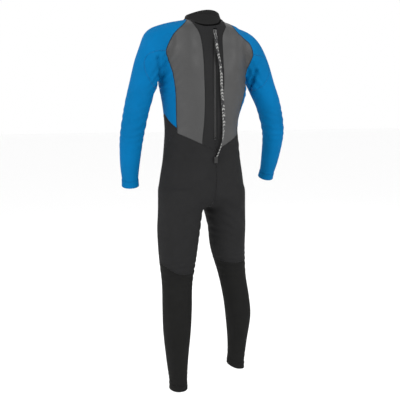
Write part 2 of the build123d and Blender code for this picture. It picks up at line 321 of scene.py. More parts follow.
def cord_weave(name):
    """Black and white woven tape: chevrons that repeat down its length, over a fine weave."""
    material, tree, shader = new_material(name, (0.3, 0.3, 0.3), 0.8, sheen=0.2, specular=0.3)
    where = tree.nodes.new("ShaderNodeUVMap").outputs["UV"]
    # u runs across the tape from 0 to 1 and v down it, in tape widths
    parts = node(tree, "ShaderNodeSeparateXYZ", [("Vector", where)])
    fold = math_node(tree, "PINGPONG", parts.outputs["X"], 0.5)
    slant = math_node(tree, "ADD", parts.outputs["Y"], fold)
    chevrons = math_node(tree, "GREATER_THAN", math_node(tree, "PINGPONG", slant, 0.55), 0.24)
    patches = math_node(tree, "GREATER_THAN", noise(tree, where, 0.55, 2.0), 0.47)
    marks = math_node(tree, "MULTIPLY", chevrons, patches)
    mix = node(tree, "ShaderNodeMix", [("Factor", marks)], data_type="RGBA")
    mix.inputs["A"].default_value = (0.03, 0.03, 0.032, 1)
    mix.inputs["B"].default_value = (0.30, 0.30, 0.29, 1)
    tree.links.new(mix.outputs["Result"], shader.inputs["Base Color"])
    threads = wave(tree, where, "Y", 5.0, 0.3)
    tree.links.new(bump(tree, threads, 0.6, 0.0005), shader.inputs["Normal"])
    return material


def make_materials():
    return {
        "black": knit_neoprene("black_stretch_neoprene", (0.0175, 0.0175, 0.018)),
        # a darker black for the calves and ankle hems: painted shade, the legs darker towards the
        # bottom
        "leg": knit_neoprene("black_leg_neoprene", (0.0105, 0.0105, 0.0102)),
        "blue": knit_neoprene("blue_stretch_neoprene", (0.0004, 0.118, 0.300)),
        "grey": smooth_skin("grey_smooth_skin", (0.038, 0.038, 0.038)),
        "collar": knit_neoprene("black_collar_neoprene", (0.0125, 0.0125, 0.0125), 0.7),
        # near-black tape under the collar flap's lower edge: painted shadow of the flap
        "flap_shadow_look": knit_neoprene("black_painted_flap_shadow", (0.001, 0.001, 0.001), 0.9),
        "thread": twill("black_thread", (0.014, 0.014, 0.015)),
        "blue_thread": twill("blue_thread", (0.001, 0.1, 0.27)),
        "tape": twill("zip_tape_cloth", (0.012, 0.012, 0.012)),
        "hook": twill("hook_and_loop", (0.015, 0.015, 0.015), scale=1500.0),
        "plastic": worn_hardware("zip_plastic", (0.03, 0.03, 0.03), 0.45, 0.0),
        "metal": worn_hardware("zip_metal", (0.028, 0.028, 0.028), 0.42, 0.0),
        "steel": worn_hardware("puller_steel", (0.30, 0.30, 0.30), 0.4, 0.6),
        "rubber": worn_hardware("rubber_tab", (0.010, 0.010, 0.010), 0.7, 0.0),
        "cord": cord_weave("patterned_webbing"),
    }


# ---- Curves and lofts ----
def millimetres(rows):
    """A table of lengths in millimetres, in metres."""
    return np.array(rows, float) / 1000


def grid_faces(count, width, closed=False, base=0):
    """Faces between count rows of points; closed joins each row's last point to its first."""
    faces = []
    for start in range(base, base + (count - 1) * width, width):
        for k in range(width if closed else width - 1):
            n = (k + 1) % width
            faces.append((start + k, start + n, start + width + n, start + width + k))
    return faces


def smooth_rows(rows, steps):
    """Catmull-Rom through the rows of a table, steps to a stretch."""
    p = np.array(rows, float)
    ends = np.vstack([2 * p[0] - p[1], p, 2 * p[-1] - p[-2]])
    out = []
    for i in range(len(p) - 1):
        a, b, c, d = ends[i: i + 4]
        for t in np.linspace(0, 1, steps, endpoint=False):
            out.append(
                0.5 * (2 * b + (c - a) * t + (2 * a - 5 * b + 4 * c - d) * t * t
                       + (3 * b - a - 3 * c + d) * t ** 3)
            )
    out.append(p[-1])
    return np.array(out)


def loft_tube(name, sections, upright, around=72, steps=10):
    """A closed tube through (x, y, z, half width, half depth) sections."""
    rows = smooth_rows(sections, steps)
    ways = np.gradient(rows[:, :3], axis=0)
    verts = []
    for row, way in zip(rows, ways):
        axis = Vector((0, 0, -1)) if upright else Vector(way).normalized()
        across = Vector((1, 0, 0)) - axis * axis.x
        across.normalize()
        deep = axis.cross(across)
        for k in range(around):
            t = 2 * math.pi * k / around
            verts.append(
                Vector(row[:3]) + across * (row[3] * math.cos(t)) + deep * (row[4] * math.sin(t))
            )
    faces = grid_faces(len(rows), around, closed=True)
    faces.append(tuple(reversed(range(around))))
    last = (len(rows) - 1) * around
    faces.append(tuple(last + k for k in range(around)))
    return object_from_faces(name, verts, faces)


# Sections of the body inside the suit, down from the neck: (x, y, z, half width, half depth).
# They follow the CAD's solids.
TORSO = millimetres([
    (0, 9, 0, 60, 62), (0, 10, -18, 80, 74), (0, 12, -32, 124, 82), (0, 13, -48, 150, 91),
    (0, 8, -75, 166, 97), (0, -2, -130, 176, 107.5), (-1, -4, -220, 166, 111),
    (-2, -1, -300, 152, 109.5), (2, 6, -380, 140, 104), (3, 9, -425, 140, 102),
    (4, 12, -500, 148, 105), (5, 13, -570, 159, 112), (5, 10, -630, 166, 106),
    (3, 6, -672, 152, 68),
])
ARMS = {
    "left": millimetres([
        (95, 10, -71, 50, 50), (157, 10, -96, 61, 58), (200, 8, -150, 52, 57),
        (230, 4, -240, 47, 50), (247, 1, -300, 45, 47), (262, -3, -370, 43, 45),
        (270, -11, -432, 41, 42), (270, -31, -517, 35, 35), (266, -43, -567, 30, 30),
        (264, -49, -591, 31, 31), (262, -54.5, -613, 31.5, 31.5),
    ]),
    "right": millimetres([
        (-95, 10, -74, 50, 50), (-160, 10, -98, 60, 58), (-207, 8, -150, 55, 57),
        (-250, 8, -240, 49, 50), (-275, 9, -296, 47, 47), (-300, 3, -370, 44, 45),
        (-311, -7, -425, 41, 42), (-319, -40, -515, 35, 35), (-321, -62, -566, 30, 30),
        (-321, -72, -590, 31, 31), (-321, -81, -612, 31.5, 31.5),
    ]),
}
LEGS = {
    "left": millimetres([
        (90, 20, -600, 82, 98), (96.5, 12, -700, 78.5, 93), (99, 6, -760, 78, 88),
        (102, 4, -855, 71, 75), (105, 4, -963, 58, 60), (108, 10, -1060, 56, 59),
        (111, 14, -1150, 52, 58), (110, 12, -1260, 42, 47), (105, 9, -1357, 34, 38),
        (104, 8, -1381, 34.5, 38.5), (104, 8, -1406, 35.5, 39.5),
    ]),
    "right": millimetres([
        (-76, 20, -600, 76, 98), (-88.5, 12, -700, 74.5, 93), (-104, 0, -760, 70, 85),
        (-114.5, -10, -850, 66.5, 74), (-136.5, -14, -958, 54.5, 60), (-152, -6, -1050, 52, 56),
        (-160, -2, -1130, 50, 55), (-162, -10, -1240, 39, 43), (-161, -18, -1326, 34.5, 38),
        (-160, -20, -1350, 35.5, 38.5), (-159, -20, -1375, 37, 40),
    ]),
}
VOXEL = 0.005


def hill(points, centre, spread):
    """A rounded bump of height 1 at centre, falling off over spread on each axis."""
    d = (points - np.array(centre)) / np.array(spread)
    return np.exp(-(d ** 2).sum(1))


def folds(points, direction, pitch, wander):
    """Uneven parallel ripples across a direction."""
    along = points @ np.array(direction, float)
    sway = np.sin(points[:, 0] * wander + 1.3) + 0.7 * np.sin(points[:, 2] * wander * 1.7)
    return np.sin(2 * math.pi * along / pitch + 1.1 * sway)


def groove(points, start, end, width):
    """A bump of height 1 along a line from start to end, falling off over width."""
    a, b = np.array(start), np.array(end)
    t = np.clip(((points - a) @ (b - a)) / ((b - a) @ (b - a)), 0, 1)
    gap = np.linalg.norm(points - a - t[:, None] * (b - a), axis=1)
    return np.exp(-(gap / width) ** 2)


# What stands out or sinks in: rows of height, x, y, z, and spread along x, y and z
BODY_HILLS = millimetres([
    (10, 98, 20, -35, 45, 70, 35),        # left shoulder's slope
    (6, -98, 20, -35, 45, 70, 35),        # right shoulder's slope
    (10, 195, 5, -75, 35, 70, 35),        # left shoulder's corner
    (11, -158, 30, -262, 45, 60, 50),     # right flank under the arm
    (-4, -140, 30, -365, 50, 70, 45),     # right waist
    (6, 140, 20, -430, 50, 80, 90),       # left waist
    (5, 165, 10, -570, 50, 80, 80),       # left hip
    (-9, 0, 130, -635, 14, 60, 60),       # between the buttocks
    (-5, -22, 130, -580, 26, 60, 85),     # seat's middle, under the cord
])
# The same on both sides: x is the distance from the middle
PAIRED_HILLS = millimetres([
    (7, 85, 105, -135, 55, 60, 75),       # shoulder blades
    (11, 80, 120, -625, 55, 70, 75),      # buttocks
    (6, 75, -105, -150, 60, 60, 60),      # chest
])
ARMPIT_CREASES = millimetres([
    [(192, 62, -150), (179, 40, -198), (169, 15, -222)],
    [(-194, 55, -179), (-188, 34, -218), (-194, 5, -244)],
])
ARMPIT_CREASE_DEEP, ARMPIT_CREASE_WIDE = 0.012, 0.0065
SEAT_CREASE_DEEP, SEAT_CREASE_WIDE = 0.006, 0.014


def folded_areas():
    """(height, centre, spread, direction, pitch, wander) of each patch of small folds."""
    areas = [(0.0016, (0, 0.1, -0.46), (0.16, 0.08, 0.05), (0.15, 0, 1), 0.030, 20)]    # waist
    for side, s in SIDES:
        elbow, knee, ankle = ARMS[side][5], LEGS[side][3], LEGS[side][8]
        armpit = (s * 0.178, 0.030, -0.215)
        back_of_knee = (knee[0], 0.05, -0.905)
        under_seat = (s * 0.05, 0.05, -0.735)
        areas += [
            (0.0022, armpit, (0.050, 0.06, 0.075), (s * 0.75, 0.1, 0.65), 0.021, 30),
            (0.0016, elbow[:3], (0.06, 0.07, 0.075), (s * 0.25, 0.3, 0.9), 0.024, 45),
            (0.0022, back_of_knee, (0.08, 0.06, 0.055), (0.12 * s, 0, 1), 0.023, 34),
            (0.0018, under_seat, (0.06, 0.1, 0.06), (s * 0.6, 0, 0.8), 0.024, 28),
            (0.0010, ankle[:3], (0.06, 0.06, 0.05), (0.1, 0.2, 1), 0.019, 50),
        ]
    return areas


def body_shape(points):
    """How far each point stands out from the plain tubes: muscle, hollows and creases."""
    out = np.zeros(len(points))
    for row in BODY_HILLS:
        out += row[0] * hill(points, row[1:4], row[4:])
    for _, s in SIDES:
        for row in PAIRED_HILLS:
            out += row[0] * hill(points, row[1:4] * (s, 1, 1), row[4:])
        seat_crease = groove(
            points, (s * 0.110, 0.100, -0.692), (s * 0.036, 0.110, -0.655), SEAT_CREASE_WIDE
        )
        out -= SEAT_CREASE_DEEP * seat_crease
    for crease in ARMPIT_CREASES:
        for start, end in zip(crease, crease[1:]):
            out -= ARMPIT_CREASE_DEEP * groove(points, start, end, ARMPIT_CREASE_WIDE)
    for height, centre, spread, direction, pitch, wander in folded_areas():
        out += height * hill(points, centre, spread) * folds(points, direction, pitch, wander)
    return out


def softened(points, edges):
    """Evens out the skin, least in the crotch and the armpits."""
    sharp = 0.88 * hill(points, (0.002, 0.02, -0.70), (0.035, 0.13, 0.060))
    for _, s in SIDES:
        sharp += 0.75 * hill(points, (s * 0.184, 0.0, -0.225), (0.03, 0.08, 0.05))
    share = 0.5 * (1 - np.clip(sharp, 0, 0.9))
    a, b = edges.T
    count = np.bincount(edges.ravel(), minlength=len(points))
    for _ in range(int(0.07 / VOXEL)):
        total = np.stack([
            np.bincount(a, points[b, i], len(points)) + np.bincount(b, points[a, i], len(points))
            for i in range(3)
        ], 1)
        points = points + share[:, None] * (total / count[:, None] - points)
    return points


def fade(distance, reach):
    """1 at or below zero, falling smoothly to 0 at reach."""
    t = np.clip(1 - distance / reach, 0, 1)
    return t * t * (3 - 2 * t)


def zip_face(x, z):
    """The y of the back's outer face near the zip, which lies along a straight line."""
    line = 0.104 + 0.007 * (-0.048 - z) / 0.377
    half = np.interp(-z, [0.048, 0.130, 0.300, 0.425], [0.148, 0.176, 0.152, 0.139])
    return line - 0.105 * (1 - np.sqrt(np.clip(1 - (x / half) ** 2, 0, 1)))


def zip_pull(points):
    """How far back or forward each point moves to bring the back round the zip to zip_face."""
    x, y, z = points.T
    share = fade(np.abs(x) - 0.05, 0.045) * fade(z + 0.045, 0.02) * fade(-0.43 - z, 0.04)
    share = np.where(y > 0, share, 0)
    return share * (zip_face(x, z) + 0.0004 - y)


def make_body():
    """One closed skin round the torso, arms and legs, with the creases pressed in."""
    tubes = [loft_tube("torso_form", TORSO, True)]
    for side, _ in SIDES:
        tubes.append(loft_tube("arm_form_" + side, ARMS[side], False))
        tubes.append(loft_tube("leg_form_" + side, LEGS[side], True))
    bm = bmesh.new()
    for tube in tubes:
        bm.from_mesh(tube.data)
        bpy.data.objects.remove(tube)
    bmesh.ops.recalc_face_normals(bm, faces=bm.faces)
    body = add_object("body_form", mesh_from_bmesh("body_form", bm))
    remesh = body.modifiers.new("skin", "REMESH")
    remesh.mode = "VOXEL"
    remesh.voxel_size = VOXEL
    applied(body)
    mesh = body.data
    edges = values_of(mesh.edges, "vertices", 2, int)
    points = softened(values_of(mesh.vertices, "co"), edges)
    move_vertices(mesh, points)
    normals = values_of(mesh.vertices, "normal")
    points = points + normals * body_shape(points)[:, None]
    points[:, 1] += zip_pull(points)
    move_vertices(mesh, points)
    return body


# ---- Panels ----
# Each outline is rows of (height, distance from the middle).
PANEL_EDGE_LEFT = millimetres([
    (20, 72), (-10, 76), (-18, 85), (-39, 110), (-61, 132), (-91, 152), (-125, 165), (-153, 152),
    (-199, 138), (-270, 128), (-363, 125.5), (-404, 125), (-600, 125),
])
PANEL_EDGE_RIGHT = millimetres([
    (20, 72), (-10, 74), (-22, 78), (-41, 86), (-57, 104), (-68, 132), (-82, 155), (-99, 166),
    (-120, 173), (-134, 171), (-150, 167), (-189, 159), (-230, 150), (-270, 140), (-353, 118),
    (-404, 110), (-600, 110),
])
ZIP_EDGE_LEFT = millimetres([
    (20, 78), (-32, 73), (-54, 60), (-87, 49), (-153, 42), (-223, 39), (-294, 38), (-366, 41),
    (-443, 48), (-600, 50),
])
ZIP_EDGE_RIGHT = millimetres([
    (20, 56), (-24, 50), (-70, 29), (-131, 31), (-218, 35), (-269, 33), (-356, 28), (-434, 26),
    (-600, 26),
])
UNDERARM_EDGE = millimetres([
    (-110, 140), (-124, 186), (-127, 202), (-131, 215), (-140, 229), (-163, 238), (-192, 236),
    (-222, 221), (-245, 200), (-265, 180), (-450, 178),
])
RIGHT_ARM_OUT = 0.010        # the right arm stands this much further from the body
ZIP_HALF = 0.0075
ZIP_LOW, ZIP_HIGH = -0.424, -0.046
PANELS_LOW = -0.47           # the grey and blue panels and the zip lie above this
ARM_START = 0.178            # the sleeves lie further out than this
WRIST_TOP, ANKLE_TOP = -0.3, -1.2    # the hems lie below these heights
UNDERARM_TOP = -0.1235
HEM = 0.024
# Sections of the neck: (y of the centre, height, half width, half depth)
NECK = millimetres([
    (3, 22, 56.5, 61), (3.5, 12, 59, 63), (5, 0, 62.5, 66), (7, -10, 67, 69), (9, -20, 75, 74.5),
    (10.5, -27, 92, 78.5), (12, -34, 115, 83), (13, -48, 146, 92), (11, -60, 158, 95),
])


def outline(table, z):
    """The outline's distance from the middle at each height."""
    rows = smooth_rows(table, 12)
    order = np.argsort(rows[:, 0])
    return np.interp(z, rows[order, 0], rows[order, 1])


# The fields from here on are zero along a seam, and positive on one side of it.
def panel_bottom(p):
    """The grey panels end in a line that rises to each side."""
    return p[:, 2] - (-0.443 + (np.abs(p[:, 0]) - 0.043) * 0.49)


def panel_side(p):
    right = (p[:, 0] < 0) & (p[:, 1] > 0)
    edge = np.where(
        right, outline(PANEL_EDGE_RIGHT, p[:, 2]), outline(PANEL_EDGE_LEFT, p[:, 2])
    )
    return edge - np.abs(p[:, 0])


def zip_side_left(p):
    return outline(ZIP_EDGE_LEFT, p[:, 2]) - p[:, 0]


def zip_side_right(p):
    return outline(ZIP_EDGE_RIGHT, p[:, 2]) + p[:, 0]


def zip_slot(p):
    return ZIP_HALF - np.abs(p[:, 0])


def zip_slot_ends(p):
    return np.minimum(p[:, 2] - ZIP_LOW, ZIP_HIGH - p[:, 2])


def underarm(p):
    out = np.where(p[:, 0] < 0, RIGHT_ARM_OUT, 0)
    return outline(UNDERARM_EDGE, p[:, 2]) + out - np.abs(p[:, 0])


def underarm_top(p):
    return UNDERARM_TOP - p[:, 2]


def neck_section(z):
    """The centre's y, half width and half depth of the neck at a height."""
    y, height, half_x, half_y = np.array(NECK[::-1]).T
    return np.interp(z, height, y), np.interp(z, height, half_x), np.interp(z, height, half_y)


def neck_hole(p):
    """Positive outside the collar, whose foot covers the skin's edge."""
    y0, half_x, half_y = neck_section(p[:, 2])
    reach = np.sqrt((p[:, 0] / half_x) ** 2 + ((p[:, 1] - y0) / half_y) ** 2)
    return np.where(p[:, 2] > -0.021, reach - 0.975, 0.1)


def blue_bottom(p):
    return p[:, 2] + 0.336 + 0.8 * np.clip(p[:, 1], 0, None) - 0.25 * np.clip(p[:, 1], None, 0)


def middle(p):
    return p[:, 0]


def knee_seam(p):
    left = -0.915 + 6.6 * np.clip(p[:, 0] - 0.095, 0, None) ** 2
    right = -0.897 + 1.5 * (p[:, 0] + 0.132) ** 2
    return p[:, 2] - np.where(p[:, 0] > 0, left, right)


def cuff_plane(side):
    """The wrist's end plane and the direction down the arm there."""
    rows = ARMS[side]
    end = Vector(rows[-2][:3])
    way = (Vector(rows[-1][:3]) - Vector(rows[-3][:3])).normalized()
    return end, way


# How steeply each ankle's hem falls towards +X and towards the back
ANKLE_SLOPE = {"left": (0.0, 0.02), "right": (-0.25, 0.12)}


def ankle_plane(side):
    """The ankle hem's plane: it drops towards the heel."""
    rows = LEGS[side]
    across, deep = ANKLE_SLOPE[side]
    way = Vector((-across, -deep, -1)).normalized()
    return Vector(rows[-2][:3]), way


def beyond(plane, p, back=0.0):
    """How far each point lies past a limb's end plane, moved back up the limb."""
    end, way = plane
    return (p - np.array(end)) @ np.array(way) + back


def limb_mask(p, kind, side):
    """The lower arm or the lower leg of one side."""
    s = 1 if side == "left" else -1
    if kind == "arm":
        return (s * p[:, 0] > 0.19) & (p[:, 2] > -0.66) & (p[:, 2] < WRIST_TOP)
    return (s * p[:, 0] > 0) & (p[:, 2] < ANKLE_TOP)


def end_planes(side):
    """(kind, end plane, hem's name) of one side's arm and leg."""
    return (
        ("arm", cuff_plane(side), "cuff_hem_" + side),
        ("leg", ankle_plane(side), "ankle_hem_" + side),
    )


NEAR_ZERO = 2e-5


def cut(bm, field, mask):
    """Splits the faces that a field's zero line crosses, exactly along it, within the mask."""
    bm.verts.ensure_lookup_table()
    points = np.array([v.co for v in bm.verts])
    values = np.where(mask(points), field(points), np.nan)
    values[np.abs(values) < NEAR_ZERO] = NEAR_ZERO
    sides = dict(zip(bm.verts, values))
    crossing = []
    for e in bm.edges:
        a, b = sides[e.verts[0]], sides[e.verts[1]]
        if a * b < 0:
            crossing.append((e, a / (a - b)))
    fresh = set()
    touched = {}
    for e, t in crossing:
        touched.update(dict.fromkeys(e.link_faces))
        _, v = bmesh.utils.edge_split(e, e.verts[0], t)
        fresh.add(v)
    for f in touched:
        if not f.is_valid:
            continue
        met = [v for v in f.verts if v in fresh]
        if len(met) == 2:
            bmesh.utils.face_split(f, met[0], met[1])


def beside_zip(p):
    return (p[:, 1] > 0.0) & (p[:, 2] > PANELS_LOW) & (np.abs(p[:, 0]) < 0.12)


def between(low, high):
    """A mask of the points between two heights."""
    return lambda p: (p[:, 2] > low) & (p[:, 2] < high)


def cut_body(body):
    """The body's mesh, with an edge along every seam and every edge of a panel."""
    bm = bmesh.new()
    bm.from_mesh(body.data)
    top = math.inf
    seams = (
        (neck_hole, between(-0.03, top)),
        (panel_side, between(PANELS_LOW, top)),
        (panel_bottom, lambda p: between(-0.5, -0.38)(p) & (np.abs(p[:, 0]) < 0.175)),
        (zip_side_left, beside_zip),
        (zip_side_right, beside_zip),
        (zip_slot, beside_zip),
        (zip_slot_ends, beside_zip),
        (underarm, between(-0.30, -0.10)),
        (underarm_top, lambda p: np.abs(p[:, 0]) > 0.13),
        (blue_bottom, lambda p: between(PANELS_LOW, top)(p) & (np.abs(p[:, 0]) < ARM_START)),
        (middle, between(-top, -0.40)),
        (knee_seam, between(-1.0, -0.8)),
    )
    for field, mask in seams:
        cut(bm, field, mask)
    for side, _ in SIDES:
        for kind, plane, _ in end_planes(side):
            for back in (0.0, HEM):
                cut(
                    bm, lambda p: beyond(plane, p, back),
                    lambda p: limb_mask(p, kind, side),
                )
    return mesh_from_bmesh("cut_body", bm)


def name_panels(mesh):
    """The panel that each face belongs to; "" or None for what is cut away."""
    p = values_of(mesh.polygons, "center")
    x, y, z = p.T
    side = np.where(x > 0, "left", "right")
    back = y > 0
    names = np.full(len(p), "", dtype=object)
    in_panel = (panel_side(p) > 0) & (panel_bottom(p) > 0) & (z > PANELS_LOW)
    is_strip = in_panel & back & (zip_side_left(p) > 0) & (zip_side_right(p) > 0)
    arm = (np.abs(x) > ARM_START) & (z > -0.66)
    blue = (blue_bottom(p) > 0) & (z > PANELS_LOW)
    lobe = (underarm(p) > 0) & (underarm_top(p) > 0)
    for s, _ in SIDES:
        own = side == s
        names[own & (z < -0.3)] = "lower_body_" + s
        names[own & blue] = "sleeve_" + s
        names[own & blue & lobe] = "side_panel_" + s
        names[own & in_panel & back] = "back_panel_" + s
        names[own & is_strip] = "zip_placket_" + s
        names[own & arm & (z < -0.26)] = "sleeve_" + s
        names[own & (z < -0.8) & (knee_seam(p) < 0)] = "calf_" + s
        for kind, plane, hem in end_planes(s):
            limb = limb_mask(p, kind, s)
            names[limb & (beyond(plane, p, HEM) > 0)] = hem
            names[limb & (beyond(plane, p) > 0)] = None
    names[in_panel & ~back] = "chest_panel"
    names[is_strip & (zip_slot(p) > 0) & (zip_slot_ends(p) > 0)] = None
    names[neck_hole(p) < 0] = None
    return names


def take_faces(mesh, chosen, name):
    """A new object from some of a mesh's faces."""
    bm = bmesh.new()
    bm.from_mesh(mesh)
    bm.faces.ensure_lookup_table()
    bmesh.ops.delete(
        bm, geom=[f for f, keep in zip(bm.faces, chosen) if not keep], context="FACES"
    )
    return add_object(name, mesh_from_bmesh(name, bm))


def thicken(piece, thickness, outwards=0.0):
    """Gives the skin its thickness, inwards but for the share that goes outwards."""
    solid = piece.modifiers.new("thickness", "SOLIDIFY")
    solid.thickness = thickness
    solid.offset = -1 + 2 * outwards
    solid.use_even_offset = True
    return applied(piece)


def flat_area(piece):
    return sum(f.area for f in piece.data.polygons)


SKIN = 0.003
ARM_SKIN = 0.0025
HEM_EXTRA = 0.0012           # a hem is this much thicker than the cloth beside it
HEM_OUTWARDS = 0.35          # and this share of its thickness lies outside the skin


GREY = ("grey", "grey_smooth_skin")
BLACK = ("black", "black_stretch_neoprene")
BLUE = ("blue", "blue_stretch_neoprene")
# the calves' darker black is painted shade towards the bottom of the legs
LEG = ("leg", "black_leg_neoprene")


def panel_table():
    """Each panel's (look, material slot), the CAD nodes that it replaces and its bend."""
    panels = {"chest_panel": (GREY, ["chest_panel"], None)}
    for side, _ in SIDES:
        sleeve = ["shoulder_panel_", "upper_sleeve_", "elbow_zone_", "forearm_sleeve_"]
        calf = ["knee_pad_", "knee_back_", "calf_"]
        body = ["front_lower_panel", "crotch_gusset"] if side == "left" else ["seat_panel"]
        panels["back_panel_" + side] = (GREY, ["back_panel_" + side], None)
        panels["zip_placket_" + side] = (BLACK, ["zip_placket_" + side], None)
        panels["side_panel_" + side] = (BLUE, ["side_panel_" + side], None)
        panels["sleeve_" + side] = (BLUE, [name + side for name in sleeve], "arm")
        panels["lower_body_" + side] = (BLACK, ["thigh_" + side] + body, "leg")
        panels["calf_" + side] = (LEG, [name + side for name in calf], "leg")
        panels["cuff_hem_" + side] = (BLUE, ["cuff_hem_" + side], None)
        panels["ankle_hem_" + side] = (LEG, ["ankle_hem_" + side], None)
    return panels


def body_of_panel(name, side):
    if name.startswith("cuff_hem"):
        return "forearm_" + side
    if name.startswith("ankle_hem"):
        return "lower_leg_" + side
    return "torso"


def make_panels(mesh, names, materials):
    for name, ((look, slot), replaced, bend) in panel_table().items():
        side = "left" if name.endswith("left") else "right"
        piece = take_faces(mesh, names == name, name + "_cloth")
        hem = "hem" in name
        thin = "sleeve" in name or "cuff" in name
        thickness = ARM_SKIN if thin else SKIN
        if hem:
            thicken(piece, thickness + HEM_EXTRA, HEM_OUTWARDS)
        else:
            thicken(piece, thickness)
        piece.data.materials.append(materials[look])
        shade_smooth(piece.data)
        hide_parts(*replaced)
        if bend:
            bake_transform(piece)
        else:
            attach(piece, body_of_panel(name, side))


# ---- Seams: a low band with a zigzag thread over it ----
SEAM_WIDTH = 0.0026
SEAM_STEP = 0.0016           # from one turn of the zigzag to the next
THREAD = 0.00032             # the thread's radius
THREAD_HEIGHT = 0.00055
ZIGZAG = 0.36                # how far the thread swings each way, in widths of the band
# (share of the width, height) across the band
BAND_SECTION = ((-0.5, -0.0006), (-0.38, 0.0002), (0, 0.0005), (0.38, 0.0002), (0.5, -0.0006))
SHORTEST_SEAM = 6            # points; shorter runs are specks where three panels meet


def seam_lines(mesh, names):
    """Where two panels meet: runs of points with the surface's normal at each."""
    bm = bmesh.new()
    bm.from_mesh(mesh)
    bm.faces.ensure_lookup_table()
    bm.normal_update()
    groups = {}
    for e in bm.edges:
        if len(e.link_faces) != 2:
            continue
        a, b = (names[f.index] for f in e.link_faces)
        if a == b or not a or not b:
            continue
        groups.setdefault(tuple(sorted((a, b))), []).append(e)
    lines = []
    for pair, edges in groups.items():
        left = dict.fromkeys(edges)
        while left:
            chain = list(left.popitem()[0].verts)
            for _ in range(2):
                while nexts := [e for e in chain[-1].link_edges if e in left]:
                    del left[nexts[0]]
                    chain.append(nexts[0].other_vert(chain[-1]))
                chain.reverse()
            points = np.array([v.co for v in chain])
            lines.append((pair, points, np.array([v.normal for v in chain])))
    bm.free()
    return lines


def resampled(points, normals, step):
    """The run with its points a step apart, smoothed."""
    gaps = np.linalg.norm(np.diff(points, axis=0), axis=1)
    run = np.concatenate([[0], np.cumsum(gaps)])
    count = max(3, int(run[-1] / step))
    at = np.linspace(0, run[-1], count)
    p = np.stack([np.interp(at, run, points[:, i]) for i in range(3)], 1)
    n = np.stack([np.interp(at, run, normals[:, i]) for i in range(3)], 1)
    for _ in range(6):
        p[1:-1] = (p[:-2] + 2 * p[1:-1] + p[2:]) / 4
        n[1:-1] = (n[:-2] + 2 * n[1:-1] + n[2:]) / 4
    n /= np.linalg.norm(n, axis=1, keepdims=True)
    return p, n


def make_seam(name, runs, band_look, thread_look, width=SEAM_WIDTH):
    """The band and its zigzag thread along each run."""
    verts, faces, slots = [], [], []

    def strip(rows, closed, slot):
        """Adds a strip of faces through the rows, closed into a tube or left open."""
        fresh = grid_faces(len(rows), len(rows[0]), closed, base=len(verts))
        for row in rows:
            verts.extend(row)
        faces.extend(fresh)
        slots.extend([slot] * len(fresh))

    for points, normals in runs:
        p, n = resampled(points, normals, SEAM_STEP)
        t = np.gradient(p, axis=0)
        t /= np.linalg.norm(t, axis=1, keepdims=True)
        across = np.cross(n, t)
        band, thread = [], []
        for i in range(len(p)):
            band.append([p[i] + across[i] * (w * width) + n[i] * h for w, h in BAND_SECTION])
            sway = (-1) ** i * width * ZIGZAG
            centre = p[i] + across[i] * sway + n[i] * THREAD_HEIGHT
            thread.append([
                centre + across[i] * (THREAD * math.cos(a)) + n[i] * (THREAD * math.sin(a))
                for a in (0, math.pi / 2, math.pi, 3 * math.pi / 2)
            ])
        strip(band, False, 0)
        strip(thread, True, 1)
    seam = object_from_faces(name, verts, faces)
    seam.data.polygons.foreach_set("material_index", slots)
    shade_smooth(seam.data)
    seam.data.materials.append(band_look)
    seam.data.materials.append(thread_look)
    return seam


# Points near the seam down each flank and thigh, which is then laid on the skin
SIDE_SEAM = {
    "left": millimetres([
        (127, 47, -408), (138, 25, -444), (144, 15, -482), (149, 12, -516), (158, 8, -560),
        (168, 6, -620), (172, 4, -700), (174, 4, -780), (173, 6, -845),
    ]),
    "right": millimetres([
        (-110, 70, -408), (-126, 45, -444), (-138, 28, -482), (-146, 18, -516), (-155, 8, -560),
        (-162, 2, -620), (-165, -2, -700), (-174, -6, -780), (-186, -10, -840),
    ]),
}


def laid_on(mesh, route, steps=30):
    """The route drawn on a mesh's surface: its points and the surface's normals."""
    tree = BVHTree.FromPolygons(
        [v.co for v in mesh.vertices], [tuple(p.vertices) for p in mesh.polygons]
    )
    points, normals = [], []
    for co in smooth_rows(route, steps):
        near, normal, _, _ = tree.find_nearest(Vector(co))
        points.append(tuple(near))
        normals.append(tuple(normal))
    return np.array(points), np.array(normals)


def make_side_seams(mesh, materials):
    for side, _ in SIDES:
        seam = make_seam(
            "side_seam_" + side, [laid_on(mesh, SIDE_SEAM[side])], materials["black"],
            materials["thread"],
        )
        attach(seam, "torso")


def make_seams(lines, materials):
    """One piece for the seams of each side that move together."""
    groups = {}
    for pair, points, normals in lines:
        if len(points) < SHORTEST_SEAM:
            continue
        side = "left" if points[:, 0].mean() > 0 else "right"
        joined = " ".join(pair)
        if "calf" in joined and "lower_body" in joined:
            key = ("knee_seam_" + side, "leg", side)
        elif "cuff" in joined:
            key = ("cuff_seam_" + side, "forearm_" + side, side)
        elif "ankle" in joined:
            key = ("ankle_seam_" + side, "lower_leg_" + side, side)
        elif "sleeve" in joined and "side_panel" in joined:
            key = ("underarm_seam_" + side, "torso", side)
        else:
            key = ("panel_seams_" + side, "torso", side)
        groups.setdefault(key, []).append((points, normals))
    for (name, body, side), runs in groups.items():
        blue = name.startswith(("cuff", "underarm"))
        band_look = materials["blue" if blue else "collar"]
        thread_look = materials["blue_thread" if blue else "thread"]
        seam = make_seam(name, runs, band_look, thread_look)
        if body == "leg":
            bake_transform(seam)
        else:
            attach(seam, body)


# ---- Collar and its overlapping flap ----
COLLAR_THICK = 0.0026
COLLAR_FOOT = -0.0225
COLLAR_RIM = 0.0215          # at the front and the back; it dips at the sides
COLLAR_DIP_LEFT, COLLAR_DIP_RIGHT = 0.011, 0.010
FLAP_THICK = 0.0025
FLAP_TOP = 0.0045
FLAP_TIP = -0.029            # x of the flap's free end, right of the zip
FLAP_ROUNDING = 0.012
FLAP_START, FLAP_END = -3, 118    # degrees round the neck, from the sewn end to the free end
# width of the near-black strip that paints the shadow under the flap's lower edge
FLAP_SHADOW_WIDTH = 0.0058
BACKING_THICK = 0.002
SHEET_BEVEL = 0.0008


